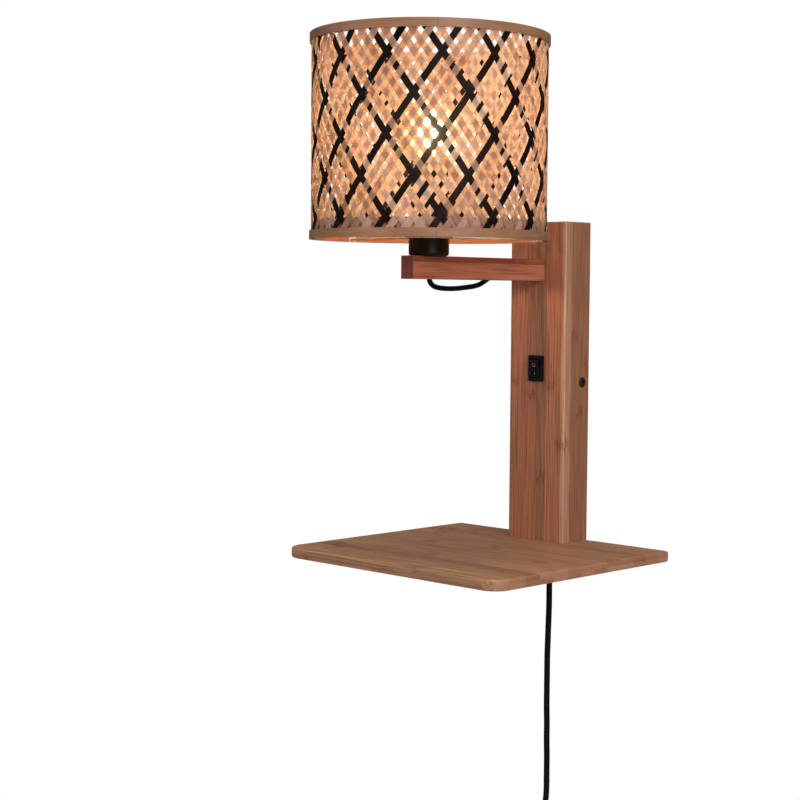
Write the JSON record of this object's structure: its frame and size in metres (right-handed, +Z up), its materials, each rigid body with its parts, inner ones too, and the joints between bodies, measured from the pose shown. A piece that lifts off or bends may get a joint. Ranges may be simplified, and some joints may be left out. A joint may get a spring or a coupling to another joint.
{
  "type": "wall lamp with shelf",
  "caption": "Wall lamp with a bamboo column, a woven drum shade that stands on a short arm, a rocker switch and a small shelf at its foot, with mains cord and plug.",
  "frame": {"origin": "centre of the two wall screw holes, on the wall plane, level with the two side screws at the middle of the column's height", "axes": "+X to the viewer's right, +Y into the wall, +Z up"},
  "size_m": [0.226, 0.2475, 0.8412],
  "materials": {
    "bamboo": "oiled laminated bamboo",
    "bamboo_light": "oiled laminated bamboo",
    "strip_natural": "split bamboo, plain",
    "strip_black": "split bamboo, stained black",
    "black_plastic": "moulded, satin",
    "black_cord": "smooth jacket",
    "white_plastic": "moulded",
    "ceramic": "unglazed",
    "core_brown": "core insulation",
    "core_blue": "core insulation",
    "steel": "zinc plated",
    "brass": "plain",
    "opal": "opal",
    "black_steel": "black coating"
  },
  "bodies": {
    "lamp": {"column": "bamboo", "shelf_board": "bamboo_light", "lamp_arm": "bamboo", "arm_screw": "steel", "shelf_screws": "steel", "wall_bracket": "steel", "side_screws": "black_steel", "switch_housing": "black_plastic", "switch_terminals": "brass", "terminal_block": "white_plastic", "terminal_screws": "brass", "cord_clamp": "white_plastic", "clamp_screws": "steel", "cord_gland": "black_plastic", "mains_lead": "black_cord", "brown_cores": "core_brown", "blue_cores": "core_blue", "arm_cable": "black_cord", "holder_cap": "black_plastic", "holder_screws": "steel", "holder_insert": "ceramic", "holder_shell": "brass", "holder_contact": "brass", "holder_skirt": "black_plastic", "shade_ring": "black_plastic", "shade_spider": "steel", "top_outer_hoop": "bamboo_light", "top_inner_hoop": "bamboo_light", "bottom_outer_hoop": "bamboo_light", "bottom_inner_hoop": "bamboo_light", "left_strips_natural": "strip_natural", "left_strips_black": "strip_black", "right_strips_natural": "strip_natural", "right_strips_black": "strip_black", "bulb_globe": "opal", "bulb_collar": "white_plastic", "bulb_cap": "steel", "bulb_contact": "brass", "mains_cord": "black_cord", "cord_coil": "black_cord", "cord_tail": "black_cord", "cord_tie": "black_cord", "plug_body": "black_plastic", "plug_sleeves": "black_plastic", "plug_pins": "steel"},
    "rocker": {"switch_rocker": "black_plastic"}
  },
  "joints": [
    {"name": "rocker_tilt", "type": "hinge", "parent": "lamp", "child": "rocker", "pos_m": [0, -0.0315, 0.011], "axis": [-1, 0, 0], "range_deg": [0, 22]}
  ]
}
